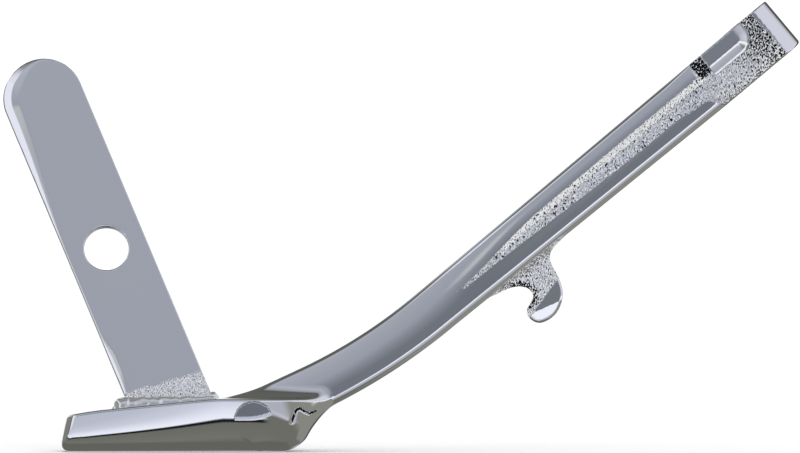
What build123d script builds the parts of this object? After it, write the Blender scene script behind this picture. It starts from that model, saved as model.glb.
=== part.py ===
from build123d import *
from math import cos, radians, sin, tan
import os

# Side-stand leg of a heavy motorcycle: a cast arm with pivot head and spring hook, and a foot and a kick
# lever welded to it. Millimetres, origin at the centre of the pivot bore, +X towards the pivot end, +Z up
# with the stand down on its sole, -Y the outer side that carries the stop pad.

# Driving dimensions, mm and degrees.
ARM_SLOPE = 40.0  # straight arm above the horizontal, stand down
HEAD_HALF = 10.7  # bore centre to each thrust face, along the bore
NOSE_RADIUS = 14.4  # pivot head, about the bore
PIVOT_BORE_RADIUS = 8.05  # for a 16 mm pin
HEAD_STRAIGHT = 24.6  # end of the head, from the bore
TAPER_END = 150.0  # where the arm has narrowed to its own depth
ARM_DEPTH = 18.0
TOP_AT_BEND, LOW_AT_BEND = 10.6, 8.5  # edges above and below the axis where the bend starts
TOP_BEND_AT, TOP_BEND_RADIUS = 165.0, 200.0
LOW_BEND_AT, LOW_BEND_RADIUS = 160.0, 243.5
BEND_ANGLE = 15.0
TOP_END_RUN, LOW_END_RUN = 30.0, 29.0  # straight runs after the bend, down into the foot
TOP_EDGE_RADIUS, LOW_EDGE_RADIUS = 2.0, 3.3

PAD_START, PAD_END = 2.7, 19.2  # stop pad along the arm
PAD_DROP = 5.5  # pad below the top thrust face
PAD_BORDER = 3.6  # sloped border of the pad
PAD_FACE = 13.9  # pad from the arm's middle plane
CAST_FACE = 12.4  # cast face of the head from the arm's middle plane
LIP_END = -7.8  # end of the polished nose
NOTCH_DROP, NOTCH_FACE = 7.4, 10.2  # gap between the pad and the rail

RAIL_EDGE = 4.2  # lower edge of the top rail above the axis
CHANNEL_FOOT = 1.6  # foot of the rail's flank
WEB_DROP = 1.7  # web below the rail's face
CHANNEL_FADE, CHANNEL_END = 105.0, 164.0  # where the channel starts to run out, and where it has

HOOK_DEPTH = 11.0
HOOK_EDGE_RADIUS = 1.5

SOLE_Z = -158.3
TOE_X, HEEL_X = -270.6, -166.8
TOE_TOP = (-267.9, -144.6)
TOP_BREAK = (-211.0, -137.6)  # where the sloping top turns level
SOLE_END_X = -189.2
TOE_DEPTH, HEEL_DEPTH = 32.0, 40.0
FOOT_DRAFT = 14.0  # how far the foot's sides turn under, from upright
SOLE_CORNER = 2.2
FOOT_TOP_RADIUS, FOOT_SOLE_RADIUS = 2.5, 4.0

LEVER_WIDTH, LEVER_THICKNESS = 31.75, 4.76
LEVER_LEAN = 23.2  # to the toe, as seen from the outer side
LEVER_TILT = 10.0  # inwards, away from the outer side
LEVER_TURN = 7.0  # about its own length, its outer face towards the pivot end
LEVER_FOOT = (-227.7, 2.0, -139.7)  # middle of the lever where it lands on the foot
LEVER_LENGTH = 147.7
LEVER_HOLE_RADIUS = 8.73
LEVER_HOLE_UP = 66.4  # hole centre from the lever's foot, along it
LEVER_EDGE_RADIUS = 1.0
TOE_BEAD, ARM_BEAD = 5.0, 3.0  # legs of the lever's weld at its toe end and at its arm end
KNEE_BEAD = 4.6  # leg of the welds along the arm's landing on the foot
KNEE_BEAD_FROM, KNEE_BEAD_TO = -196.0, -172.0

BIG = 400.0

slope = radians(ARM_SLOPE)
ALONG = Vector(-cos(slope), 0, -sin(slope))  # u: down the arm, from the pivot
ACROSS = Vector(-sin(slope), 0, cos(slope))  # v: up out of the arm's top edge
INWARDS = Vector(0, 1, 0)  # w
ARM_PLANE = Plane(origin=(0, 0, 0), x_dir=ALONG, z_dir=INWARDS)
PLAN_PLANE = Plane(origin=(0, 0, 0), x_dir=ALONG, z_dir=ACROSS)
FRONT = Plane(origin=(0, 0, 0), x_dir=(1, 0, 0), z_dir=(0, -1, 0))

lean, tilt, turn_about = radians(LEVER_LEAN), radians(LEVER_TILT), radians(LEVER_TURN)
LEVER_UP = Vector(-sin(lean) * cos(tilt), sin(tilt), cos(lean) * cos(tilt))
lever_level = Vector(cos(lean), 0, sin(lean))
LEVER_SIDE = lever_level * cos(turn_about) - lever_level.cross(LEVER_UP) * sin(turn_about)
LEVER_OUT = LEVER_SIDE.cross(LEVER_UP)  # normal of the lever's outer face
LEVER_PLANE = Plane(origin=LEVER_FOOT, x_dir=LEVER_SIDE, z_dir=LEVER_OUT)


def at(u, v, w=0.0):
    """Row-frame point from distances down the arm, across it and inwards."""
    return ALONG * u + ACROSS * v + INWARDS * w


def across_arm(u):
    """Plane across the arm at u, with local x = v and local y = w."""
    return Plane(origin=at(u, 0), x_dir=ACROSS, z_dir=ACROSS.cross(INWARDS))


def arm_block(u_range, v_range, w_range):
    """A block between distances down the arm, across it and inwards."""
    size = [b - a for a, b in (u_range, v_range, w_range)]
    centre = at(*[(a + b) / 2 for a, b in (u_range, v_range, w_range)])
    plane = Plane(origin=centre, x_dir=ALONG, z_dir=INWARDS)
    return plane * Box(*size)


def bent_edge(bend_at, offset, radius):
    """Start, middle and end of a bend, and the tangent direction after it."""
    turn = radians(BEND_ANGLE)
    points = [Vector(bend_at + radius * sin(a), offset + radius * (1 - cos(a))) for a in (0, turn / 2, turn)]
    return points, Vector(cos(turn), sin(turn))


def arm_side():
    """Side view of the arm: level head, straight arm, then the bend towards the foot."""
    top, run = bent_edge(TOP_BEND_AT, TOP_AT_BEND, TOP_BEND_RADIUS)
    low, run = bent_edge(LOW_BEND_AT, -LOW_AT_BEND, LOW_BEND_RADIUS)
    top_end = top[2] + run * TOP_END_RUN
    low_end = low[2] + run * LOW_END_RUN
    outline = [
        Polyline((-NOSE_RADIUS, HEAD_HALF), (HEAD_STRAIGHT, HEAD_HALF), top[0]),
        ThreePointArc(*top),
        Polyline(top[2], top_end, low_end, low[2]),
        ThreePointArc(low[2], low[1], low[0]),
        Polyline(low[0], (HEAD_STRAIGHT, -HEAD_HALF), (-NOSE_RADIUS, -HEAD_HALF), (-NOSE_RADIUS, HEAD_HALF)),
    ]
    return make_face(outline)


def arm_plan():
    """The arm seen along the pivot bore: round nose, head and tapering arm."""
    r = NOSE_RADIUS
    half = ARM_DEPTH / 2
    one_side = [(0, r), (PAD_END, r), (TAPER_END, half), (BIG, half)]
    other_side = [(u, -w) for u, w in one_side]
    outline = [ThreePointArc((0, r), (-r, 0), (0, -r)), Polyline(*other_side, *reversed(one_side))]
    return make_face(outline)


def half_depth(u):
    """Half depth over the rails at a distance down the taper."""
    return ARM_DEPTH / 2 + (NOSE_RADIUS - ARM_DEPTH / 2) * (TAPER_END - u) / (TAPER_END - PAD_END)


def arm_blank():
    """Arm and head with their long edges rounded, before the channels are let in."""
    blank = extrude(ARM_PLANE * arm_side(), amount=BIG, both=True)
    blank = blank & extrude(PLAN_PLANE * arm_plan(), amount=BIG, both=True)
    for above, radius in ((True, TOP_EDGE_RADIUS), (False, LOW_EDGE_RADIUS)):
        edges = [e for e in blank.edges() if is_long_edge(e, above)]
        blank = fillet(edges, radius)
    return blank


def is_long_edge(edge, above):
    """Whether an edge runs along the arm's top, or along its underside, beyond the head."""
    centre = edge.center()
    u, v, w = centre.dot(ALONG), centre.dot(ACROSS), centre.Y
    axis = max(0.0, u - TOP_BEND_AT) * tan(radians(BEND_ANGLE)) * 0.8
    runs_along = abs(edge.tangent_at(0.5).dot(ALONG)) > 0.8
    return u > HEAD_STRAIGHT and runs_along and abs(w) > ARM_DEPTH * 0.45 and (v > axis) == above


def channel_cut(side):
    """The channel under the top rail on one side, running out at the bend."""

    def section(u, face):
        web = face - WEB_DROP
        deep = BIG / 8
        points = [(RAIL_EDGE, face), (CHANNEL_FOOT, web), (-deep, web), (-deep, deep), (RAIL_EDGE, deep)]
        return across_arm(u) * make_face(Polyline(*[(v, side * w) for v, w in points], close=True))

    start = section(HEAD_STRAIGHT - 12, half_depth(HEAD_STRAIGHT - 12))
    fade = section(CHANNEL_FADE, half_depth(CHANNEL_FADE))
    end = section(CHANNEL_END, ARM_DEPTH / 2 + WEB_DROP)
    return loft([start, fade], ruled=True) + loft([fade, end], ruled=True)


def stop_pad():
    """The raised pad that meets the frame's stop, with its sloped border."""
    face_plane = Plane(origin=at(0, 0, -PAD_FACE), x_dir=ALONG, z_dir=INWARDS)
    foot_plane = Plane(origin=at(0, 0, -CAST_FACE), x_dir=ALONG, z_dir=INWARDS)
    top, low = HEAD_HALF, HEAD_HALF - PAD_DROP
    face = face_plane * pad_outline(PAD_START, PAD_END, low, top)
    foot = foot_plane * pad_outline(PAD_START - PAD_BORDER, PAD_END, low - PAD_BORDER, top)
    return loft([face, foot], ruled=True)


def pad_outline(u_start, u_end, low, top):
    """A rectangle along the arm, centred at its own place in the plane."""
    rectangle = Rectangle(u_end - u_start, top - low)
    return Pos((u_start + u_end) / 2, (low + top) / 2) * rectangle


def spring_hook():
    """The hook under the arm that takes the return spring, open towards the foot."""
    outline = [
        Polyline((140.5, 0), (106, 0), (106, -8)),
        Line((106, -8), (110.6, -8.9)),
        ThreePointArc((110.6, -8.9), (114.0, -10.9), (115.5, -14.5)),
        Line((115.5, -14.5), (116.3, -18.3)),
        ThreePointArc((116.3, -18.3), (119.6, -26.0), (126.6, -30.3)),
        ThreePointArc((126.6, -30.3), (133.9, -28.9), (135.2, -22.8)),
        Line((135.2, -22.8), (130.6, -20.5)),
        ThreePointArc((130.6, -20.5), (128.5, -16.2), (131.4, -12.6)),
        Line((131.4, -12.6), (140.5, -7.0)),
        Line((140.5, -7.0), (140.5, 0)),
    ]
    body = extrude(ARM_PLANE * make_face(outline), amount=HOOK_DEPTH / 2, both=True)
    rounded = [e for e in body.edges() if is_hook_edge(e)]
    return fillet(rounded, HOOK_EDGE_RADIUS)


def is_hook_edge(edge):
    """Whether an edge is on the outline of the hook's side, clear of the arm."""
    centre = edge.center()
    on_side = abs(abs(centre.Y) - HOOK_DEPTH / 2) < 0.01
    return on_side and centre.dot(ACROSS) < -8.2


def make_arm(foot):
    """The casting: pivot head, stop pad, channelled arm and spring hook."""
    arm = arm_blank()
    cast = arm_block((LIP_END, HEAD_STRAIGHT), (-BIG, BIG), (-BIG, -CAST_FACE))
    notch = arm_block((PAD_END, HEAD_STRAIGHT), (HEAD_HALF - NOTCH_DROP, BIG), (-BIG, -NOTCH_FACE))
    arm = arm - cast
    arm = arm + stop_pad()
    arm = arm - notch
    for side in (-1, 1):
        arm = arm - (channel_cut(side) - arm_block((-BIG, HEAD_STRAIGHT), (-BIG, BIG), (-BIG, BIG)))
    arm = arm + spring_hook()
    bore = Plane(origin=(0, 0, 0), z_dir=ACROSS) * Cylinder(PIVOT_BORE_RADIUS, 4 * HEAD_HALF)
    return arm - bore - foot


def foot_side():
    """Side view of the foot: flat sole, upright toe, sloping top and rounded heel."""
    outline = [
        Line((SOLE_END_X, SOLE_Z), (TOE_X + SOLE_CORNER + 1.5, SOLE_Z)),
        Line((TOE_X + SOLE_CORNER + 1.5, SOLE_Z), (TOE_X, SOLE_Z + SOLE_CORNER)),
        Polyline((TOE_X, SOLE_Z + SOLE_CORNER), TOE_TOP, TOP_BREAK, (HEEL_X, TOP_BREAK[1]), (-168.4, -143.4)),
        ThreePointArc((-168.4, -143.4), (-175.8, -152.3), (SOLE_END_X, SOLE_Z)),
    ]
    return make_face(outline)


def foot_plan():
    """The foot from above: narrow toe, wide heel, rounded in to the arm's depth."""
    toe, heel, arm = TOE_DEPTH / 2, HEEL_DEPTH / 2, ARM_DEPTH / 2 - 1
    outline = [
        Polyline((HEEL_X, -arm), (HEEL_X, arm)),
        ThreePointArc((HEEL_X, arm), (-176.0, heel * 0.83), (-196.0, heel)),
        Polyline((-196.0, heel), (TOE_X - 8, toe), (TOE_X - 8, -toe), (-196.0, -heel)),
        ThreePointArc((-196.0, -heel), (-176.0, -heel * 0.83), (HEEL_X, -arm)),
    ]
    return make_face(outline)


def make_foot():
    """The solid foot block: sides that turn under, with the sole edge and the top edge rounded."""
    plan = Plane(origin=(0, 0, TOP_BREAK[1])) * foot_plan()
    foot = extrude(FRONT * foot_side(), amount=BIG, both=True) & extrude(plan, amount=-30, taper=FOOT_DRAFT)
    top = [e for e in foot.edges() if e.center().Z > -146 and abs(e.center().Y) > 10 and e.length > 12]
    foot = fillet(top, FOOT_TOP_RADIUS)
    sole = [e for e in foot.edges() if abs(e.center().Z - SOLE_Z) < 0.01 and e.length > 40]
    return fillet(sole, FOOT_SOLE_RADIUS)


def lever_prism(length_below):
    """The flat bar with its full-round tip, extended below its landing on the foot."""
    half = LEVER_WIDTH / 2
    straight = LEVER_LENGTH - half
    outline = [
        ThreePointArc((half, straight), (0, LEVER_LENGTH), (-half, straight)),
        Polyline((-half, straight), (-half, -length_below), (half, -length_below), (half, straight)),
    ]
    return extrude(LEVER_PLANE * make_face(outline), amount=LEVER_THICKNESS / 2, both=True)


def make_lever(foot):
    """The kick lever: flat bar, full-round tip, one drilled hole, cut to sit on the foot."""
    bar = lever_prism(12)
    hole = LEVER_PLANE * Pos(0, LEVER_HOLE_UP, 0) * Cylinder(LEVER_HOLE_RADIUS, 4 * LEVER_THICKNESS)
    face_edges = [e for e in bar.edges() if e.length > 40]
    return fillet(face_edges, LEVER_EDGE_RADIUS) - hole - foot


def top_frame():
    """Unit vectors of the foot's sloping top: its normal, and along and across the lever's landing."""
    run = Vector(TOP_BREAK[0] - TOE_TOP[0], 0, TOP_BREAK[1] - TOE_TOP[1]).normalized()
    normal = run.cross(Vector(0, 1, 0)) * -1
    if normal.Z < 0:
        normal = normal * -1
    along = normal.cross(LEVER_OUT).normalized()
    if along.X < 0:
        along = along * -1
    across = along.cross(normal)
    return normal, along, across


def landing_point():
    """Where the lever's middle line meets the foot's top."""
    normal, along, across = top_frame()
    base = Vector(TOE_TOP[0], 0, TOE_TOP[1])
    foot = Vector(*LEVER_FOOT)
    return foot - LEVER_UP * ((foot - base).dot(normal) / LEVER_UP.dot(normal))


def bead(origin, along, out, up, span, legs):
    """A fillet weld: a triangle in the corner between out and up, drawn along from one end to the other."""

    def triangle(distance, leg):
        corner = origin + along * distance
        root = corner - out * 2
        points = [root - up * 3, corner + out * leg - up * 3, corner + out * leg, root + up * leg]
        return make_face(Polyline(*points, close=True))

    return loft([triangle(span[0], legs[0]), triangle(span[1], legs[1])], ruled=True)


def make_lever_welds(foot, lever):
    """Four beads round the lever's foot: outer face, inner face, toe end and arm end."""
    normal, along, across = top_frame()
    landing = landing_point()
    half_thickness = LEVER_THICKNESS / 2 / abs(across.dot(LEVER_OUT))
    half_width = LEVER_WIDTH / 2 / along.dot(LEVER_SIDE)
    outwards = across if across.Y < 0 else across * -1
    keep = lever_prism(12)
    welds = {}
    for name, out in (("outer", outwards), ("inner", outwards * -1)):
        start = landing + out * half_thickness
        side_bead = bead(start, along, out, normal, (-half_width, half_width), (TOE_BEAD, ARM_BEAD))
        welds[name] = side_bead - keep - foot
    for name, out, leg in (("toe", along * -1, TOE_BEAD), ("arm", along, ARM_BEAD)):
        start = landing + out * half_width
        reach = half_thickness + leg * 0.6
        end_bead = bead(start, across, out, normal, (-reach, reach), (leg, leg)) - keep - foot
        welds[name] = end_bead - welds["outer"] - welds["inner"]
    return welds


def make_knee_weld(foot, arm_core, side):
    """One bead along the arm's landing on the foot, ground smooth."""
    start = Vector(KNEE_BEAD_FROM, side * ARM_DEPTH / 2, TOP_BREAK[1])
    span = (0, KNEE_BEAD_TO - KNEE_BEAD_FROM)
    legs = (KNEE_BEAD * 0.7, KNEE_BEAD)
    weld = bead(start, Vector(1, 0, 0), Vector(0, side, 0), Vector(0, 0, 1), span, legs)
    return weld - foot - arm_core


def largest(shape):
    """The biggest solid of a cut, without the slivers a cut can leave."""
    return max(shape.solids(), key=lambda solid: solid.volume)


def save(name, shape):
    """Write one piece as its own STEP file."""
    shape.label = name
    export_step(shape, os.path.join("parts", name + ".step"))


def main():
    os.makedirs("parts", exist_ok=True)
    foot = largest(make_foot())
    arm = largest(make_arm(foot))
    lever = largest(make_lever(foot))
    pieces = {"arm": arm, "foot": foot, "kick_lever": lever}
    for name, weld in make_lever_welds(foot, lever).items():
        pieces["lever_weld_" + name] = largest(weld)
    for name, side in (("outer", -1), ("inner", 1)):
        pieces["knee_weld_" + name] = largest(make_knee_weld(foot, arm, side))
    for name, shape in pieces.items():
        save(name, shape)


main()
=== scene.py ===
"""Chrome side-stand leg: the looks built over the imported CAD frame.

Each piece is modelled as a distance field in millimetres and meshed finely, so that the plated surfaces
reflect cleanly. The arm is described in its own directions: u down the arm from the pivot, v up across it
and w inwards.
"""

from math import cos, radians, sin, tan

import bpy
import numpy as np
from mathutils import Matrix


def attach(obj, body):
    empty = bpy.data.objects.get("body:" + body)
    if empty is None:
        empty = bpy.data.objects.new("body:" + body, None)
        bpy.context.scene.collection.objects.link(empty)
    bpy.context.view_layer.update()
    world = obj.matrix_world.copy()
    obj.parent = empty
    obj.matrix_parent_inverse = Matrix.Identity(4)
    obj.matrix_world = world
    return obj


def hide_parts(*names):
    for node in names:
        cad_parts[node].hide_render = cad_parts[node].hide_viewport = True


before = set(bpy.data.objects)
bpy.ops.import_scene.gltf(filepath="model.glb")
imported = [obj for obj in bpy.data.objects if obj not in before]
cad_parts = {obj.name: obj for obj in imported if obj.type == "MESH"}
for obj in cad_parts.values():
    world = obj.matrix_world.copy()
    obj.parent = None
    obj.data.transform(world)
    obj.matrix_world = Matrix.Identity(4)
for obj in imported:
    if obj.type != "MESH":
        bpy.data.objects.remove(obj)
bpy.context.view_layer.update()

MM = 0.001
FINE = 0.47  # mesh pitch of the smooth pieces, mm
BEAD_PITCH, BEAD_MARGIN = 0.35, 4.5

# Arm, mm and degrees.
ARM_SLOPE = radians(40.0)
HEAD_HALF = 10.7
NOSE_RADIUS = 14.4
BORE_RADIUS = 8.05
HEAD_STRAIGHT = 24.6
RAIL_START_HALF, ARM_HALF_DEPTH = 13.5, 9.0
TAPER_END = 150.0
TOP_AT_BEND, LOW_AT_BEND = 10.6, 8.5
TOP_BEND_AT, TOP_BEND_RADIUS = 165.0, 200.0
LOW_BEND_AT, LOW_BEND_RADIUS = 160.0, 243.5
BEND_ANGLE = radians(15.0)
ARM_END = 246.0
TOP_EDGE, LOW_EDGE = 1.6, 3.3  # radii of the arm's long edges

PAD_START, PAD_END, PAD_LOW = 3.4, 19.8, 4.9
PAD_FACE, CAST_FACE, NOTCH_FACE = 13.7, 12.4, 10.0
PAD_CORNER, PAD_BORDER, PAD_SLOPE = 2.6, 4.2, 0.3
LIP_END = -6.4
NOTCH_END = 25.2
WEB_DROP = 1.1
RAIL_EDGE, FLANK_FOOT = 4.75, 1.75
CHANNEL_END = 152.0

HOOK_HALF_DEPTH = 5.5
HOOK_FROM, HOOK_TO, HOOK_BELOW = 95, 152, 2  # where along and below the arm the hook can be
KNEE_FROM = 175  # the arm can meet the foot past here

# Foot.
SOLE_Z = -158.3
CREASE = (
    (-180.3, -146.5), (-179.3, -143.7), (-178.5, -141.8), (-177.2, -141.1), (-175.5, -142.3),
    (-173.6, -143.3), (-171.0, -142.2),
)

# Lever.
LEVER_LEAN, LEVER_TILT, LEVER_TURN = radians(23.2), radians(10.0), radians(7.0)
LEVER_FOOT = np.array((-227.7, 2.0, -139.7))
LEVER_HALF_WIDTH, LEVER_HALF_THICKNESS = 15.875, 2.38
LEVER_LENGTH = 147.7
LEVER_HOLE_RADIUS, LEVER_HOLE_UP = 8.73, 66.4

STAND_SLOPE = radians(30.0)
STAND_ALONG = (-cos(STAND_SLOPE), 0, -sin(STAND_SLOPE))
STAND_UP = (-sin(STAND_SLOPE), 0, cos(STAND_SLOPE))
STAND_AXES = np.array((STAND_ALONG, STAND_UP, (0, 1, 0)))
LEVER_UP = np.array((-sin(LEVER_LEAN) * cos(LEVER_TILT), sin(LEVER_TILT), cos(LEVER_LEAN) * cos(LEVER_TILT)))
LEVER_LEVEL = np.array((cos(LEVER_LEAN), 0, sin(LEVER_LEAN)))
LEVER_SIDE = LEVER_LEVEL * cos(LEVER_TURN) - np.cross(LEVER_LEVEL, LEVER_UP) * sin(LEVER_TURN)
LEVER_OUT = np.cross(LEVER_SIDE, LEVER_UP)
LEVER_AXES = np.array((LEVER_SIDE, LEVER_UP, LEVER_OUT))


# Distance-field helpers.
def ramp(a, b, x):
    """0 below a, 1 above b, smooth between."""
    t = np.clip((x - a) / (b - a), 0, 1)
    return t * t * (3 - 2 * t)


def both(a, b, r):
    """Inside both fields, with the outer edge rounded to radius r."""
    return np.minimum(np.maximum(a, b), -r) + np.hypot(np.maximum(a + r, 0), np.maximum(b + r, 0))


def either(a, b, r):
    """Inside either field, with the inner corner filleted to radius r."""
    return np.maximum(np.minimum(a, b), r) - np.hypot(np.maximum(r - a, 0), np.maximum(r - b, 0))


def soft_part(x, r):
    """x where it is positive and 0 where it is negative, turning over a width of about r."""
    return (x + np.sqrt(x * x + r * r)) / 2


def polygon(points, x, y):
    """Signed distance to a closed outline."""
    points = np.asarray(points, float)
    x, y = np.broadcast_arrays(x, y)
    nearest = np.full(x.shape, 1e9)
    inside = np.zeros(x.shape, bool)
    for (ax, ay), (bx, by) in zip(points, np.roll(points, -1, 0)):
        ex, ey = bx - ax, by - ay
        t = np.clip(((x - ax) * ex + (y - ay) * ey) / (ex * ex + ey * ey), 0, 1)
        nearest = np.minimum(nearest, (x - ax - t * ex) ** 2 + (y - ay - t * ey) ** 2)
        crosses = (ay > y) != (by > y)
        side = (x - ax) * ey - (y - ay) * ex
        inside ^= crosses & ((side < 0) == (ey > 0))
    return np.where(inside, -1, 1) * np.sqrt(nearest)


def curve(points, closed=True, steps=8):
    """Points of a smooth curve through a few given points."""
    p = np.asarray(points, float)
    n = len(p)
    spans = range(n) if closed else range(n - 1)
    pick = (lambda i: p[i % n]) if closed else (lambda i: p[min(max(i, 0), n - 1)])
    out = []
    for i in spans:
        a, b, c, d = pick(i - 1), pick(i), pick(i + 1), pick(i + 2)
        for t in np.arange(steps) / steps:
            bend = (2 * a - 5 * b + 4 * c - d) * t**2 + (3 * b - a - 3 * c + d) * t**3
            out.append(0.5 * (2 * b + (c - a) * t + bend))
    if not closed:
        out.append(p[-1])
    return np.array(out)


HASH_PRIMES = (374761393, 668265263, 2147483647, 974711)
HASH_MIX = 1274126177


def noise(x, y, z, size, seed):
    """Smooth value noise from -1 to 1 with the given feature size."""
    out = 0
    corner = [np.floor(c / size).astype(np.int64) for c in (x, y, z)]
    part = [c / size - np.floor(c / size) for c in (x, y, z)]
    part = [t * t * (3 - 2 * t) for t in part]
    for i in (0, 1):
        for j in (0, 1):
            for k in (0, 1):
                steps = (corner[0] + i, corner[1] + j, corner[2] + k, seed)
                h = sum(step * prime for step, prime in zip(steps, HASH_PRIMES))
                h = (h ^ (h >> 13)) * HASH_MIX
                value = ((h ^ (h >> 16)) & 0xFFFF) / 32767.5 - 1
                weight = 1
                for near, share in zip((i, j, k), part):
                    weight = weight * (share if near else 1 - share)
                out = out + value * weight
    return out


# Arm.
def arm_top(u):
    part = np.clip((u - HEAD_STRAIGHT) / (TOP_BEND_AT - HEAD_STRAIGHT), 0, 1)
    straight = HEAD_HALF + (TOP_AT_BEND - HEAD_HALF) * part
    return straight + bend_rise(u - TOP_BEND_AT, TOP_BEND_RADIUS)


def arm_low(u):
    part = np.clip((u - HEAD_STRAIGHT) / (LOW_BEND_AT - HEAD_STRAIGHT), 0, 1)
    straight = -HEAD_HALF + (HEAD_HALF - LOW_AT_BEND) * part
    return straight + bend_rise(u - LOW_BEND_AT, LOW_BEND_RADIUS)


def bend_rise(past, radius):
    """How far a bent edge has risen at a distance past the start of its bend."""
    arc = radius * sin(BEND_ANGLE)
    on_arc = np.clip(past, 0, arc)
    return radius - np.sqrt(radius**2 - on_arc**2) + np.maximum(past - arc, 0) * tan(BEND_ANGLE)


def half_depth(u):
    """Half depth over the rails: a long taper from the head, easing out at its end."""
    left = (TAPER_END - u + np.sqrt((TAPER_END - u) ** 2 + 15**2)) / 2
    return ARM_HALF_DEPTH + (RAIL_START_HALF - ARM_HALF_DEPTH) * left / (TAPER_END - HEAD_STRAIGHT)


def channel_left(u):
    """How much of the channel's full depth is left at u."""
    return 1 - ramp(60, CHANNEL_END, u)


def arm_face(u, v):
    """Height of the outer face above the arm's middle plane."""
    full = half_depth(u)
    crown_middle = 3.5 + bend_rise(u - 162, 220) - 6 * ramp(110, 160, u)
    crown = np.maximum(v - crown_middle, 0) ** 2 / (2 * (20 + 12 * ramp(110, 160, u)))
    low_turn = np.maximum(crown_middle - 2 - v, 0) ** 2 / (2 * 90)
    rail = full - crown - low_turn * ramp(100, 160, u)
    web = np.minimum(full - WEB_DROP * channel_left(u), CAST_FACE)
    narrowing = ramp(105, CHANNEL_END, u)
    flank_top = RAIL_EDGE - 3.6 * narrowing
    flank_foot = FLANK_FOOT - 0.8 * narrowing
    flank = np.clip((v - flank_foot) / (flank_top - flank_foot), 0, 1)
    return rail, web, flank


def front_field(u, v, w):
    """The arm's outer side: rail, channel and land, with the head's pad, notch and cast face."""
    rail, web, flank = arm_face(u, v)
    land = web + 0.15 * ramp(-0.5, -4.5, v) * channel_left(u)
    rail_here = ramp(NOTCH_END - 0.5, NOTCH_END + 1.2, u + 0.25 * np.maximum(v - 9, 0))
    level = land + (rail - land) * flank * rail_here
    fade = ramp(CHANNEL_END - 30, CHANNEL_END + 6, u)
    level = level + (rail - level) * fade
    return -w - level


def pad_field(u, v, w):
    """The polished stop pad with its sloped border."""
    border = soft_part(pad_gap(u, v), 0.3)
    level = PAD_FACE - PAD_SLOPE * border - 0.015 * border**2
    return np.maximum(-w - level, u - PAD_END)


def pad_gap(u, v):
    """Distance outside the pad's own outline, which has one rounded corner."""
    u_gap = np.maximum(PAD_START + PAD_CORNER - u, 0)
    v_gap = np.maximum(PAD_LOW + PAD_CORNER - v, 0)
    return np.hypot(u_gap, v_gap) - PAD_CORNER


def arm_field(u, v, w):
    top = (v - arm_top(u)) * 0.985
    low = (arm_low(u) - v) * 0.985
    front = either(front_field(u, v, w), pad_field(u, v, w), 0.3)
    front = np.where(u < NOTCH_END + 4, front, front_field(u, v, w))
    rail_end = NOTCH_END - 0.9 * ramp(7, 3, v) + np.clip(np.abs(w) - (RAIL_START_HALF - 1.0), 0, 1)
    notch = np.maximum(np.maximum(PAD_END - u, u - rail_end), 3.4 - v)
    front = np.maximum(front, -np.maximum(notch, w + NOTCH_FACE))
    back_rail, back_web, back_flank = arm_face(u, v)
    back_start = ramp(34, 40, u)
    back_level = back_web + (back_rail - back_web) * np.maximum(back_flank, 1 - back_start)
    back_level = back_level + (back_rail - back_level) * ramp(CHANNEL_END - 30, CHANNEL_END + 6, u)
    back = w - np.where(u < 30, NOSE_RADIUS, back_level)
    nose = np.where(u < 0, np.hypot(np.minimum(u, 0), w) - NOSE_RADIUS, -1e3)
    edge_low = LOW_EDGE - 1.9 * (1 - ramp(-8, 16, u))
    edge_top = TOP_EDGE - 1.1 * (1 - ramp(20, 40, u))
    sides = np.maximum(np.maximum(front, back), nose)
    body = both(both(sides, low, edge_low), top, edge_top)
    body = np.maximum(body, u - ARM_END)
    bore = np.hypot(u, w) - BORE_RADIUS
    return both(body, -bore, 0.5)


HOOK_OUTLINE = curve([
    (143.0, -4.0), (140.5, -8.0), (135.5, -10.4), (131.0, -12.9), (128.7, -15.9), (128.8, -19.0),
    (131.0, -20.6), (133.8, -21.6), (135.5, -23.6), (135.4, -26.8), (133.6, -29.2), (130.2, -30.4),
    (126.3, -30.2), (122.6, -28.6), (119.5, -26.0), (117.5, -22.4), (116.4, -18.3), (115.5, -14.2),
    (113.6, -10.9), (110.0, -8.6), (104.0, -7.0), (104.0, -3.0),
])


def hook_field(u, v, w):
    side = polygon(HOOK_OUTLINE, u, v)
    below = np.maximum(-24.5 - 0.283 * (132.8 - u) - v, 0)
    root = np.maximum(v + 14, 0)
    level = HOOK_HALF_DEPTH - 0.17 * below - 0.06 * root
    return both(side, np.abs(w) - level, 1.2)


# Foot, in row-frame directions.
def foot_top(x):
    back = np.maximum(-208 - x, 0)
    return -137.6 - 0.1 * (np.sqrt(back**2 + 16) - 4) - 0.0035 * np.maximum(-252 - x, 0) ** 2


def foot_field(x, y, z):
    """A boat-shaped block: level sole, sloping top, sides that turn under, and a rounded heel."""
    top_level = foot_top(x) - 0.04 * (y + 15)
    height = foot_top(x) - SOLE_Z
    down = np.clip((top_level - z) / height, -0.1, 1.1)
    run = 1 - (1 - np.clip((x + 268) / 70, 0, 1)) ** 2
    start = 0.117 + 0.2 * np.clip((x + 261) / 54, 0, 1)
    inset = height * (start * down + 0.125 * down**2 + 0.2 * down**4)
    half = 16 + 4 * run - inset
    past = (x + 198 + np.sqrt((x + 198) ** 2 + 3)) / 66
    across = np.abs(y) / half
    q = np.hypot(past, across)
    steep = np.hypot(past / 33, across / half) / np.maximum(q, 1e-6)
    plan = (q - 1) / np.maximum(steep, 1e-4) * 0.93
    heel = (x + 170.2) * 0.861 - (z + 145.5) * 0.508
    toe = -(x + 270.5) * 0.977 + (z + 156.5) * 0.213
    side = both(heel, SOLE_Z - z, 5.5)
    side = both(side, toe, 4.0)
    side = both(side, plan, 4.2)
    body = both(side, z - top_level, 1.1)
    return both(body, -ground_flat(x, y, z), 0.3)


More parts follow.
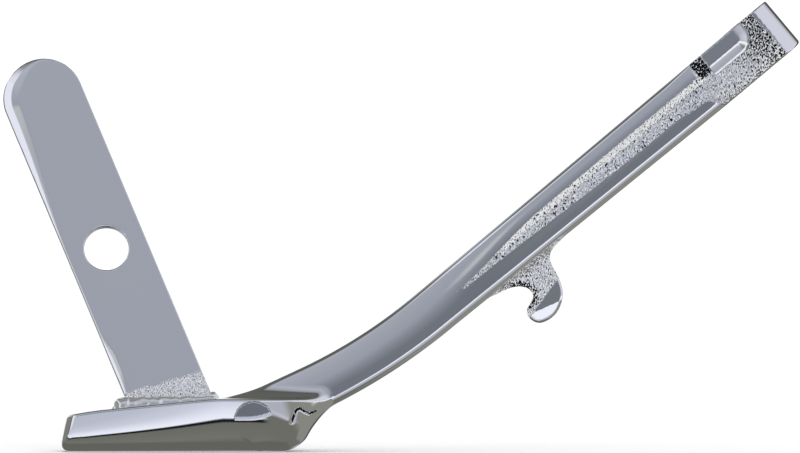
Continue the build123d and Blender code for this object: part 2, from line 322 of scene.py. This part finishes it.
def ground_flat(x, y, z):
    """The half-round flat ground on the outer side of the foot, below the arm."""
    dome = (np.hypot((x + 195.0) / 7.2, (z + 145.5) / 7.1) - 1) * 7.1
    base = -145.5 - z
    return np.maximum(np.maximum(dome, base), y + 17.2 + 0.03 * (z + 142))


def arm_space(x, y, z):
    """u, v and w of row-frame points."""
    return -(x * cos(ARM_SLOPE) + z * sin(ARM_SLOPE)), z * cos(ARM_SLOPE) - x * sin(ARM_SLOPE), y


def crease_field(x, y, z):
    """Distance from the forked undercut where the knee weld ends, on the outer side."""
    gap = 1e3
    for (ax, az), (bx, bz) in zip(CREASE[:-1], CREASE[1:]):
        ex, ez = bx - ax, bz - az
        t = np.clip(((x - ax) * ex + (z - az) * ez) / (ex * ex + ez * ez), 0, 1)
        gap = np.minimum(gap, np.hypot(x - ax - t * ex, z - az - t * ez))
    return np.where(y < 0, gap, 1e3)


# Lever.
def lever_field(s, t, n):
    """The flat bar: s across it, t up it, n out of its outer face."""
    straight = LEVER_LENGTH - LEVER_HALF_WIDTH
    plan = np.hypot(s, np.maximum(t - straight, 0)) - LEVER_HALF_WIDTH
    turn = np.degrees(np.arctan2(np.maximum(t - straight, 0), -s))
    width = 1.0 + 5.2 * ramp(68, 134, t) + 1.9 * ramp(4, 20, t) * ramp(36, 25, t)
    width = width * ramp(128, 50, turn) + 0.01
    into = soft_part(plan + width, 0.25)
    drop = 0.27 * into + 0.2 * soft_part(into - 0.5 * width, 0.25)
    edge = 0.3 + 0.2 * ramp(4, -12, s)
    bar = both(plan, np.maximum(n - LEVER_HALF_THICKNESS + drop, -n - LEVER_HALF_THICKNESS), edge)
    bar = np.maximum(bar, -t - 9)
    hole = np.hypot(s, t - LEVER_HOLE_UP) - LEVER_HOLE_RADIUS
    return both(bar, -hole, 0.45)


# Meshing.
def surface_net(values):
    """Vertices (in grid steps) and quads of the zero surface of a grid of values."""
    inside = values < 0
    shape = np.array(values.shape) - 1
    total = np.zeros((*shape, 3), np.float32)
    count = np.zeros(shape, np.int8)

    def corner(array, d):
        return array[d[0]:d[0] + shape[0], d[1]:d[1] + shape[1], d[2]:d[2] + shape[2]]

    for axis in range(3):
        for a in (0, 1):
            for b in (0, 1):
                start = [a, b]
                start.insert(axis, 0)
                end = list(start)
                end[axis] = 1
                crosses = corner(inside, start) != corner(inside, end)
                first, second = corner(values, start)[crosses], corner(values, end)[crosses]
                place = np.tile(np.array(start, np.float32), (len(first), 1))
                place[:, axis] += first / (first - second)
                total[crosses] += place
                count[crosses] += 1
    active = count > 0
    index = np.full(shape, -1, np.int64)
    index[active] = np.arange(active.sum())
    vertices = np.argwhere(active) + total[active] / count[active][:, None]
    quads = []
    for axis in range(3):
        b, c = (axis + 1) % 3, (axis + 2) % 3
        low = [slice(None)] * 3
        high = [slice(None)] * 3
        low[axis], high[axis] = slice(0, -1), slice(1, None)
        starts_in, ends_in = inside[tuple(low)], inside[tuple(high)]
        places = np.argwhere(starts_in != ends_in)
        ok = (places[:, b] > 0) & (places[:, c] > 0) & (places[:, b] < shape[b]) & (places[:, c] < shape[c])
        places = places[ok]
        flip = ~starts_in[tuple(places.T)]
        ring = []
        for db, dc in ((-1, -1), (0, -1), (0, 0), (-1, 0)):
            cell = places.copy()
            cell[:, b] += db
            cell[:, c] += dc
            ring.append(index[tuple(cell.T)])
        ring = np.stack(ring, 1)
        ring[flip] = ring[flip][:, ::-1]
        quads.append(ring)
    return vertices, np.concatenate(quads)


def slope_of(field, p, step=0.03):
    """Gradient of a field at points."""
    out = np.empty_like(p)
    for axis in range(3):
        d = np.zeros(3)
        d[axis] = step
        out[:, axis] = (field(*(p + d).T) - field(*(p - d).T)) / (2 * step)
    return out


def settle(field, p, most, rounds=4):
    """Points moved onto the zero surface, with the surface's normals."""
    for _ in range(rounds):
        g = slope_of(field, p)
        move = (field(*p.T) / np.maximum((g * g).sum(1), 0.05))[:, None] * g
        size = np.linalg.norm(move, axis=1, keepdims=True)
        p = p - move * np.minimum(1, most / np.maximum(size, 1e-9))
    g = slope_of(field, p)
    return p, g / np.maximum(np.linalg.norm(g, axis=1, keepdims=True), 1e-9)


def net_of(field, low, high, pitch):
    """Vertices, normals and quads of a field between two corners."""
    axes = [np.arange(a, b + pitch, pitch) for a, b in zip(low, high)]
    grid = np.meshgrid(*axes, indexing="ij", sparse=True)
    values = np.broadcast_to(field(*grid), [len(a) for a in axes]).astype(np.float32)
    vertices, quads = surface_net(values)
    vertices = np.array([a[0] for a in axes]) + vertices * pitch
    vertices, normals = settle(field, vertices, pitch * 0.6)
    return vertices, normals, quads


def make_piece(name, vertices, normals, quads, material, masks=None):
    """A mesh object in metres from millimetre vertices, riding on the row's one body."""
    used, quads = np.unique(quads, return_inverse=True)
    quads = quads.reshape(-1, 4)
    vertices, normals = vertices[used] * MM, normals[used]
    mesh = bpy.data.meshes.new(name)
    mesh.from_pydata(vertices.tolist(), [], quads.tolist())
    mesh.polygons.foreach_set("use_smooth", np.ones(len(quads), bool))
    for mask, values in (masks or {}).items():
        layer = mesh.attributes.new(mask, "FLOAT", "POINT")
        layer.data.foreach_set("value", values[used].astype(np.float32))
    mesh.validate()
    mesh.normals_split_custom_set_from_vertices(normals.tolist())
    piece = bpy.data.objects.new(name, mesh)
    bpy.context.scene.collection.objects.link(piece)
    mesh.materials.append(material)
    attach(piece, "root")
    return piece


def turned(axes, origin, vertices, normals):
    """Vertices and normals from a piece's own directions to the row frame."""
    return vertices @ axes + origin, normals @ axes


# Materials.
def srgb(r, g, b):
    """Linear colour from an 8-bit one."""
    return tuple(((c / 255 + 0.055) / 1.055) ** 2.4 if c > 10 else c / 255 / 12.92 for c in (r, g, b))


PLATE = srgb(238, 239, 241)


def chrome(name, grained, grain_size=1.0, grain_depth=1.3):
    """Bright chrome plate. The metal's own grain shows through it where grain_and_shade is set, and so does
    painted shade: cast_depth is how deep the grain goes, the shade attribute how dark the painted shade in
    its hollows is, and the glint attribute how many of its crests are turned diffuse white as painted glints."""
    material = bpy.data.materials.new(name)
    material.use_nodes = True
    nodes, links = material.node_tree.nodes, material.node_tree.links
    shader = nodes["Principled BSDF"]
    shader.inputs["Base Color"].default_value = (*PLATE, 1)
    shader.inputs["Metallic"].default_value = 1.0
    place = nodes.new("ShaderNodeTexCoord")
    smear = nodes.new("ShaderNodeTexNoise")
    smear.inputs["Scale"].default_value = 38
    smear.inputs["Detail"].default_value = 3
    links.new(place.outputs["Object"], smear.inputs["Vector"])
    rough = nodes.new("ShaderNodeMapRange")
    rough.inputs["From Min"].default_value = 0.35
    rough.inputs["From Max"].default_value = 0.75
    rough.inputs["To Min"].default_value = 0.03
    rough.inputs["To Max"].default_value = 0.06
    links.new(smear.outputs["Fac"], rough.inputs["Value"])
    links.new(rough.outputs["Result"], shader.inputs["Roughness"])
    if not grained:
        return material

    def math(operation, *values):
        node = nodes.new("ShaderNodeMath")
        node.operation = operation
        for socket, value in zip(node.inputs, values):
            if isinstance(value, (int, float)):
                socket.default_value = value
            else:
                links.new(value, socket)
        return node.outputs["Value"]

    def smooth(value, low, high):
        node = nodes.new("ShaderNodeMapRange")
        node.interpolation_type = "SMOOTHSTEP"
        node.inputs["From Min"].default_value = low
        node.inputs["From Max"].default_value = high
        links.new(value, node.inputs["Value"])
        return node.outputs["Result"]

    mask = nodes.new("ShaderNodeAttribute")
    mask.attribute_name = "grain_and_shade"
    depth = nodes.new("ShaderNodeAttribute")
    depth.attribute_name = "cast_depth"
    shade_amount = nodes.new("ShaderNodeAttribute")
    shade_amount.attribute_name = "painted_shade"
    grit = nodes.new("ShaderNodeTexNoise")
    grit.inputs["Scale"].default_value = 1 / (0.0005 * grain_size)
    grit.inputs["Detail"].default_value = 0.6
    grit.inputs["Roughness"].default_value = 0.5
    stretch = nodes.new("ShaderNodeMapping")
    stretch.inputs["Rotation"].default_value = (0, radians(20), 0)
    stretch.inputs["Scale"].default_value = (1.0, 1.0, 0.6)
    links.new(place.outputs["Object"], stretch.inputs["Vector"])
    links.new(stretch.outputs["Vector"], grit.inputs["Vector"])
    glints = nodes.new("ShaderNodeAttribute")
    glints.attribute_name = "painted_glint"
    edge = smooth(math("MULTIPLY_ADD", grit.outputs["Fac"], 0.7, mask.outputs["Fac"]), 0.70, 0.98)
    bump = nodes.new("ShaderNodeBump")
    bump.inputs["Strength"].default_value = 1.0
    bump.inputs["Distance"].default_value = 0.001 * grain_depth
    height = math("MULTIPLY", math("MULTIPLY", grit.outputs["Fac"], edge), depth.outputs["Fac"])
    links.new(height, bump.inputs["Height"])
    links.new(bump.outputs["Normal"], shader.inputs["Normal"])
    # Painted shade: the grain's hollows are coloured near black (24, 24, 27), more of them as the shade
    # attribute rises.
    level = math("MULTIPLY_ADD", shade_amount.outputs["Fac"], 0.26, 0.30)
    dark = smooth(math("SUBTRACT", level, grit.outputs["Fac"]), -0.06, 0.05)
    blend = nodes.new("ShaderNodeMix")
    blend.data_type = "RGBA"
    links.new(math("MULTIPLY", dark, edge), blend.inputs["Factor"])
    blend.inputs["A"].default_value = (*PLATE, 1)
    blend.inputs["B"].default_value = (*srgb(24, 24, 27), 1)
    links.new(blend.outputs["Result"], shader.inputs["Base Color"])
    # Painted glints: on that many crests Metallic drops towards 0.15, so they show diffuse white.
    high = math("MULTIPLY_ADD", glints.outputs["Fac"], -0.25, 0.70)
    bright = smooth(math("SUBTRACT", grit.outputs["Fac"], high), -0.03, 0.05)
    links.new(math("MULTIPLY_ADD", math("MULTIPLY", bright, edge), -0.85, 1.0), shader.inputs["Metallic"])
    return material


def arm_grain(u, v, w):
    """Where the casting keeps its grain, from 0 to 1."""
    front = ramp(2, -2, w) * ramp(BORE_RADIUS + 0.3, BORE_RADIUS + 1.0, np.hypot(u, w)) * ramp(10.7, 10.5, v)
    narrowing = ramp(105, CHANNEL_END, u)
    upper = RAIL_EDGE - 0.1 - 3.7 * narrowing
    lower = -5.6 + 2.6 * ramp(20, 44, u) + 2.4 * ramp(50, 140, u) + 0.6 * narrowing
    strip = ramp(upper + 0.35, upper - 0.35, v) * ramp(lower - 0.5, lower + 0.5, v) * ramp(22, 24, u)
    strip = strip * ramp(CHANNEL_END - 2, CHANNEL_END - 8, u)
    below = ramp(-10.6, -9.6, v) * ramp(-2, -4, v) * ramp(31, 22, u + 0.6 * np.maximum(-6 - v, 0))
    head = ramp(-0.3, 0.3, past_lip(u, v)) * ramp(NOTCH_END + 0.2, NOTCH_END - 0.2, u) * ramp(-10.4, -9.7, v)
    pad = ramp(PAD_BORDER + 0.6, PAD_BORDER - 0.9, pad_gap(u, v)) * ramp(PAD_END + 0.2, PAD_END - 0.2, u)
    head = head * (1 - pad)
    arm = np.maximum(np.maximum(strip, head), below * ramp(-0.3, 4, past_lip(u, v)))
    return front * np.maximum(arm, hook_zone(u, v) * ramp(-22.4, -20.4, v + 0.25 * (u - 122)))


def past_lip(u, v):
    """Distance past the polished nose, whose inner edge runs a little aslant."""
    return u - LIP_END - 0.05 * v


def hook_zone(u, v):
    return ramp(100, 108, u) * ramp(144, 138, u) * ramp(-8.0, -8.8, v)


def notch_zone(u, v):
    along = ramp(PAD_END - 0.2, PAD_END + 0.3, u) * ramp(NOTCH_END + 0.1, NOTCH_END - 0.3, u)
    return along * ramp(2.4, 3.6, v)


def grain_depth(u, v, w):
    """How deep the grain goes: deepest on the head, shallow on the channel's floor."""
    nose = 1.0 - 0.45 * ramp(4, 22, u + 0.8 * (4 - v))
    channel = 0.34 + 0.36 * ramp(FLANK_FOOT - 0.6, FLANK_FOOT + 0.6, v)
    depth = nose + (channel - nose) * ramp(22, 32, u)
    return depth + (0.6 - depth) * hook_zone(u, v)


def arm_painted_shade(u, v, w):
    """How much painted shade darkens the hollows of the grain, from 0 to 1."""
    nose = 0.74 - 0.58 * ramp(2, 16, u + 0.8 * (4 - v)) + 0.14 * ramp(-5, -9, v)
    channel = 0.26 - 0.29 * on_flank(u, v)
    level = nose + (channel - nose) * ramp(22, 32, u)
    # Painted shade: the notch's recess is darkened nearly black, and so is a ring round the hook's throat.
    level = level + (1.1 - level) * notch_zone(u, v)
    throat = ramp(2.2, 0.8, np.abs(np.hypot(u - 133.2, v + 17.0) - 5.4)) * ramp(-24, -21, v)
    return level + (0.22 + 0.7 * throat - level) * hook_zone(u, v)


def on_flank(u, v):
    """1 on the sloping side of the channel, 0 on its floor."""
    edge = FLANK_FOOT - 0.8 * ramp(105, CHANNEL_END, u)
    return ramp(edge - 0.3, edge + 0.7, v) * ramp(135, 120, u)


def arm_painted_glint(u, v, w):
    """How many of the grain's crests show a painted glint, from 0 to 1."""
    nose = 0.42 - 0.1 * ramp(4, 22, u + 0.8 * (4 - v)) + 0.2 * ramp(-4, -8, v)
    channel = 0.12 + 1.03 * on_flank(u, v)
    level = nose + (channel - nose) * ramp(20, 27, u)
    level = level * (1 - 0.8 * notch_zone(u, v))
    return level + (0.55 - level) * hook_zone(u, v)


def relief(x, y, z):
    """The casting's coarse unevenness, in millimetres: crumpled on the head, finer down the channel."""
    u, v, w = arm_space(x, y, z)
    coarse = ramp(60, 14, u)
    crumple = np.abs(noise(u, v, w, 1.7, 3)) + 0.6 * noise(u, v, w, 1.2, 8)
    return (0.06 + 0.22 * coarse) * crumple * arm_grain(u, v, w)


def stand_field(a, b, c):
    """Arm with hook and foot, blended where they meet: a along the whole stand, b up across it, c inwards."""
    x = a * STAND_ALONG[0] + b * STAND_UP[0]
    y = c
    z = a * STAND_ALONG[2] + b * STAND_UP[2]
    u, v, w = arm_space(x, y, z)
    arm = arm_field(u, v, w)
    hooked = either(arm, hook_field(u, v, w), 3.0)
    footed = either(arm, foot_field(x, y, z), 5.5) + 0.3 * np.exp(-((crease_field(x, y, z) / 0.6) ** 2))
    by_hook = (u > HOOK_FROM) & (u < HOOK_TO) & (v < HOOK_BELOW)
    return np.where(u > KNEE_FROM, footed, np.where(by_hook, hooked, arm))


cast_chrome = chrome("chrome_over_casting", grained=True)
bar_chrome = chrome("chrome_over_bar", grained=True, grain_size=0.7, grain_depth=0.6)
bead_chrome = chrome("chrome_over_weld", grained=False)
# Painted light: Metallic 0.8 mixes lit diffuse white into the welds' chrome, lightening them where their
# reflections are dark.
bead_chrome.node_tree.nodes["Principled BSDF"].inputs["Metallic"].default_value = 0.8

# Arm, foot and knee welds: one blended surface, divided where each piece's own metal begins.
vertices, normals, quads = net_of(stand_field, (-18, -54, -21), (314, 17, 21), FINE)
vertices, normals = turned(STAND_AXES, np.zeros(3), vertices, normals)
place = np.stack(arm_space(*vertices.T), 1)
# The forked crease at the knee weld gets grain with painted shade, darkened nearly black.
crease = ramp(0.75, 0.25, crease_field(*vertices.T)) * (place[:, 0] > KNEE_FROM)
masks = {
    "grain_and_shade": np.maximum(arm_grain(*place.T), crease),
    "cast_depth": grain_depth(*place.T),
    "painted_shade": arm_painted_shade(*place.T) + 1.2 * crease,
    "painted_glint": arm_painted_glint(*place.T),
}
centres = vertices[quads].mean(1)
rise = slope_of(relief, vertices)
raised = relief(*vertices.T)
tipped = normals - (rise - (rise * normals).sum(1, keepdims=True) * normals)
vertices = vertices + normals * raised[:, None]
normals = tipped / np.linalg.norm(tipped, axis=1, keepdims=True)
centre_u = place[quads].mean(1)[:, 0]
belongs_arm = (centre_u < KNEE_FROM) | (arm_field(*arm_space(*centres.T)) < 0.06)
belongs_foot = ~belongs_arm & (foot_field(*centres.T) < 0.06)
weld = ~belongs_arm & ~belongs_foot
parts = {
    "arm": belongs_arm,
    "foot": belongs_foot,
    "knee_weld_outer": weld & (centres[:, 1] <= 0),
    "knee_weld_inner": weld & (centres[:, 1] > 0),
}
for name, chosen in parts.items():
    piece = make_piece(name + "_plated", vertices, normals, quads[chosen], cast_chrome, masks)
    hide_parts(name)

# Kick lever.
vertices, normals, quads = net_of(lever_field, (-17, -12, -4), (17, 150, 4), FINE)
s, t, n = vertices.T
grained = ramp(-1.2, 1.2, 10.2 - 0.1 * (s + 16) - t + 0.3 * np.sin(s * 0.55)) * ramp(0, 1, n)
# Painted shade: the wall of the lever's hole is darkened nearly black.
wall = ramp(0.35, 0.1, np.abs(np.hypot(s, t - LEVER_HOLE_UP) - LEVER_HOLE_RADIUS)) * ramp(2.2, 1.8, np.abs(n))
vertices, normals = turned(LEVER_AXES, LEVER_FOOT, vertices, normals)
masks = {
    "grain_and_shade": np.maximum(grained, wall),
    "cast_depth": 0.6 * grained,
    "painted_shade": 1.8 * wall,
    "painted_glint": 0.62 * grained,
}
lever = make_piece("kick_lever_plated", vertices, normals, quads, bar_chrome, masks)
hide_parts("kick_lever")

# Lever weld beads.
TOP_NORMAL = np.array((-0.1, 0, 1.0)) / np.hypot(0.1, 1)
BEAD_RUN = np.cross(LEVER_OUT, TOP_NORMAL)
BEAD_RUN = BEAD_RUN / np.linalg.norm(BEAD_RUN) * np.sign(BEAD_RUN[0])
BEAD_IN = np.cross(TOP_NORMAL, BEAD_RUN)
BEAD_AXES = np.array((BEAD_RUN, BEAD_IN, TOP_NORMAL))


def lever_landing():
    """Where the lever's middle line meets the foot's top."""
    p = LEVER_FOOT.copy()
    for _ in range(20):
        p = p + LEVER_UP * (foot_top(p[0]) - p[2])
    return p


def bead_field(start, end, thick_start, thick_end, seed):
    """A run of overlapping weld ripples between two points of the landing's own directions."""
    start, end = np.array(start, float), np.array(end, float)
    span = end - start
    length = np.linalg.norm(span)

    def field(a, b, c):
        reach = (a - start[0]) * span[0] + (b - start[1]) * span[1] + (c - start[2]) * span[2]
        along = np.clip(reach / length**2, 0, 1)
        fine, slow = np.sin(along * length * 1.6 + seed), np.sin(along * length * 0.5 + 2 * seed)
        ripple = 1 + 0.02 * fine + 0.06 * slow
        radius = (thick_start + (thick_end - thick_start) * along) * ripple
        gap = np.sqrt(sum((q - start[i] - span[i] * along) ** 2 for i, q in enumerate((a, b, c))))
        return gap - radius - 0.2 * radius * noise(a + 0.6 * b, b, c - 0.5 * a, 2.6, seed)

    return field


half_run = LEVER_HALF_WIDTH / abs(BEAD_RUN @ LEVER_SIDE)
half_gap = LEVER_HALF_THICKNESS / abs(BEAD_IN @ LEVER_OUT)
to_toe, to_arm, outer, inner = -half_run, half_run, -half_gap, half_gap
beads = {
    "lever_weld_outer": ((to_toe - 1.6, outer - 0.2, 0.7), (to_arm, outer + 0.4, -0.2), 3.2, 1.0, 1),
    "lever_weld_inner": ((to_toe, inner + 0.8, 0.6), (to_arm, inner + 0.3, 0.2), 2.9, 2.2, 2),
    "lever_weld_toe": ((to_toe - 4.2, outer, -0.8), (to_toe - 3.4, inner, -0.8), 2.5, 2.5, 3),
    "lever_weld_arm": ((to_arm - 0.1, outer + 0.6, -0.3), (to_arm - 0.1, inner, -0.3), 0.9, 1.3, 4),
}
landing = lever_landing()
for name, (start, end, thick_start, thick_end, seed) in beads.items():
    low = np.minimum(start, end) - BEAD_MARGIN
    high = np.maximum(start, end) + BEAD_MARGIN
    bead = bead_field(start, end, thick_start, thick_end, seed)
    vertices, normals, quads = net_of(bead, low, high, BEAD_PITCH)
    vertices, normals = turned(BEAD_AXES, landing, vertices, normals)
    piece = make_piece(name + "_plated", vertices, normals, quads, bead_chrome)
    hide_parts(name)

# Floor.
floor_mesh = bpy.data.meshes.new("floor")
FLOOR_HALF = 6
floor_corners = [(-1, -1), (1, -1), (1, 1), (-1, 1)]
floor_points = [(x * FLOOR_HALF, y * FLOOR_HALF, SOLE_Z * MM) for x, y in floor_corners]
floor_mesh.from_pydata(floor_points, [], [(0, 1, 2, 3)])
floor = bpy.data.objects.new("floor", floor_mesh)
bpy.context.scene.collection.objects.link(floor)
floor_paint = bpy.data.materials.new("floor_white")
floor_paint.use_nodes = True
floor_paint.node_tree.nodes["Principled BSDF"].inputs["Base Color"].default_value = (0.9, 0.9, 0.9, 1)
floor_paint.node_tree.nodes["Principled BSDF"].inputs["Roughness"].default_value = 1.0
floor_paint.node_tree.nodes["Principled BSDF"].inputs["Specular IOR Level"].default_value = 0.0
floor_mesh.materials.append(floor_paint)
floor.visible_glossy = False

# Studio light.
STUDIO_STRENGTH = 1.15
world = bpy.data.worlds.new("studio")
bpy.context.scene.world = world
world.use_nodes = True
nodes, links = world.node_tree.nodes, world.node_tree.links
nodes.clear()
direction = nodes.new("ShaderNodeTexCoord")
split = nodes.new("ShaderNodeSeparateXYZ")
links.new(direction.outputs["Generated"], split.inputs["Vector"])
depth = nodes.new("ShaderNodeMath")
depth.operation = "MULTIPLY"
depth.inputs[1].default_value = -1
links.new(split.outputs["Y"], depth.inputs[0])
rise = nodes.new("ShaderNodeMath")
rise.operation = "ARCTAN2"
links.new(split.outputs["Z"], rise.inputs[0])
links.new(depth.outputs["Value"], rise.inputs[1])
level = nodes.new("ShaderNodeMapRange")
level.inputs["From Min"].default_value = -radians(90)
level.inputs["From Max"].default_value = radians(90)
links.new(rise.outputs["Value"], level.inputs["Value"])
tent = nodes.new("ShaderNodeValToRGB")
bands = [
    (-90, (98, 98, 91)), (-76, (114, 114, 107)), (-54, (106, 106, 99)), (-52.5, (12, 12, 14)),
    (-50, (12, 12, 14)), (-48.5, (238, 240, 250)), (-42, (222, 224, 236)), (-36, (200, 203, 216)),
    (-26, (184, 188, 202)), (-9, (180, 184, 198)), (-6, (102, 106, 115)), (0, (113, 117, 125)),
    (8, (132, 136, 146)), (15, (150, 154, 165)), (28, (159, 162, 172)), (45, (172, 176, 186)),
    (62, (156, 158, 163)), (74, (84, 86, 85)), (90, (92, 93, 88)),
]
ramp_points = tent.color_ramp.elements
while len(ramp_points) > 1:
    ramp_points.remove(ramp_points[0])
for i, (elevation, colour) in enumerate(bands):
    point = ramp_points[0] if i == 0 else ramp_points.new((elevation + 90) / 180)
    point.position = (elevation + 90) / 180
    point.color = (*srgb(*colour), 1)
links.new(level.outputs["Result"], tent.inputs["Fac"])
across = nodes.new("ShaderNodeMapRange")
across.inputs["From Min"].default_value = -1
across.inputs["From Max"].default_value = 1
links.new(split.outputs["X"], across.inputs["Value"])


def panel_ramp(stops):
    """Side panels: colour and share by how far a ray points to the side."""
    node = nodes.new("ShaderNodeValToRGB")
    points = node.color_ramp.elements
    while len(points) > 1:
        points.remove(points[0])
    for i, (side, colour, share) in enumerate(stops):
        point = points[0] if i == 0 else points.new((side + 1) / 2)
        point.position = (side + 1) / 2
        point.color = (*srgb(*colour), share)
    links.new(across.outputs["Result"], node.inputs["Fac"])
    return node


def laid_over(under, panel, factor):
    """One colour mixed over another."""
    node = nodes.new("ShaderNodeMix")
    node.data_type = "RGBA"
    links.new(factor, node.inputs["Factor"])
    links.new(under, node.inputs["A"])
    links.new(panel, node.inputs["B"])
    return node.outputs["Result"]


def step_down(axis, full, none):
    """1 where a ray's component is at or beyond the first value, falling smoothly to 0 at the second."""
    node = nodes.new("ShaderNodeMapRange")
    node.interpolation_type = "SMOOTHSTEP"
    node.inputs["From Min"].default_value = full
    node.inputs["From Max"].default_value = none
    node.inputs["To Min"].default_value = 1
    node.inputs["To Max"].default_value = 0
    links.new(split.outputs[axis], node.inputs["Value"])
    return node.outputs["Result"]


def product(a, b):
    """Two shares multiplied."""
    node = nodes.new("ShaderNodeMath")
    node.operation = "MULTIPLY"
    links.new(a, node.inputs[0])
    links.new(b, node.inputs[1])
    return node.outputs["Value"]


WHITE_PANEL, GREY_PANEL, NOSE_PANEL = (228, 230, 240), (188, 190, 190), (206, 208, 218)
upper_panels = panel_ramp([
    (-1.0, WHITE_PANEL, 1), (-0.58, WHITE_PANEL, 1), (-0.54, GREY_PANEL, 1), (-0.32, GREY_PANEL, 1),
    (-0.26, GREY_PANEL, 0), (0.42, NOSE_PANEL, 0), (0.72, NOSE_PANEL, 1),
])
above = nodes.new("ShaderNodeMapRange")
above.interpolation_type = "SMOOTHSTEP"
above.inputs["From Min"].default_value = -0.42
above.inputs["From Max"].default_value = -0.2
links.new(split.outputs["Z"], above.inputs["Value"])
low_left = nodes.new("ShaderNodeMath")
low_left.operation = "MAXIMUM"
steep_left = product(step_down("X", -0.54, -0.49), step_down("Z", 0.62, 0.75))
low_or_steep = nodes.new("ShaderNodeMath")
low_or_steep.operation = "MAXIMUM"
links.new(step_down("Z", 0.2, 0.3), low_or_steep.inputs[0])
links.new(steep_left, low_or_steep.inputs[1])
links.new(low_or_steep.outputs["Value"], low_left.inputs[0])
links.new(step_down("X", 0.3, -0.1), low_left.inputs[1])
upper_share = product(upper_panels.outputs["Alpha"], above.outputs["Result"])
upper_share = product(upper_share, low_left.outputs["Value"])
far_left = panel_ramp([
    (-1.0, (124, 124, 116), 1), (-0.88, (120, 120, 112), 1), (-0.85, (16, 16, 17), 1),
    (-0.82, (16, 16, 17), 1), (-0.79, WHITE_PANEL, 0), (1.0, WHITE_PANEL, 0),
])
studio = laid_over(tent.outputs["Color"], upper_panels.outputs["Color"], upper_share)
far_share = product(far_left.outputs["Alpha"], step_down("Z", -0.34, -0.42))
studio = laid_over(studio, far_left.outputs["Color"], far_share)


def flat_colour(colour):
    """One plain colour as a socket."""
    node = nodes.new("ShaderNodeRGB")
    node.outputs["Color"].default_value = (*srgb(*colour), 1)
    return node.outputs["Color"]


strip_height = product(step_down("Z", -0.1, -0.06), step_down("Z", -0.32, -0.42))
strip_share = product(step_down("X", 0.14, 0.08), strip_height)
ring_height = product(step_down("Z", -0.1, 0.0), step_down("Z", -0.62, -0.70))
ring_share = product(step_down("X", 0.24, 0.1), ring_height)
studio = laid_over(studio, flat_colour((172, 174, 184)), ring_share)
studio = laid_over(studio, flat_colour((240, 242, 250)), strip_share)
olive = flat_colour((108, 108, 101))
studio = laid_over(studio, olive, product(step_down("X", 0.22, 0.12), step_down("Z", -0.70, -0.64)))
light_olive = flat_colour((134, 134, 127))
studio = laid_over(studio, light_olive, product(step_down("X", 0.58, 0.42), step_down("Z", -0.3, -0.15)))
backdrop = nodes.new("ShaderNodeRGB")
backdrop.outputs["Color"].default_value = (*srgb(240, 241, 246), 1)
level_rays = product(step_down("Z", 0.28, 0.5), step_down("Z", -0.28, -0.5))
studio = laid_over(studio, backdrop.outputs["Color"], product(step_down("Y", 0.8, 0.5), level_rays))
behind_right = product(step_down("X", 0.36, 0.26), step_down("Y", 0.75, 0.6))
studio = laid_over(studio, flat_colour((76, 76, 70)), behind_right)
mirror = nodes.new("ShaderNodeBackground")
links.new(studio, mirror.inputs["Color"])
mirror.inputs["Strength"].default_value = STUDIO_STRENGTH
white = nodes.new("ShaderNodeBackground")
white.inputs["Color"].default_value = (1, 1, 1, 1)
white.inputs["Strength"].default_value = STUDIO_STRENGTH
ray = nodes.new("ShaderNodeLightPath")
pick = nodes.new("ShaderNodeMixShader")
links.new(ray.outputs["Is Glossy Ray"], pick.inputs["Fac"])
links.new(white.outputs["Background"], pick.inputs[1])
links.new(mirror.outputs["Background"], pick.inputs[2])
out = nodes.new("ShaderNodeOutputWorld")
links.new(pick.outputs["Shader"], out.inputs["Surface"])
bpy.context.scene.view_settings.view_transform = "Standard"

# Camera, straight on to the outer side.
camera_data = bpy.data.cameras.new("camera")
camera = bpy.data.objects.new("camera", camera_data)
bpy.context.scene.collection.objects.link(camera)
camera_data.sensor_width = 36
camera_data.lens = 276.9
camera.location = (-0.1383, -2.4, -0.0707)
camera.rotation_euler = (radians(90), 0, 0)
camera_data.clip_end = 30
bpy.context.scene.camera = camera
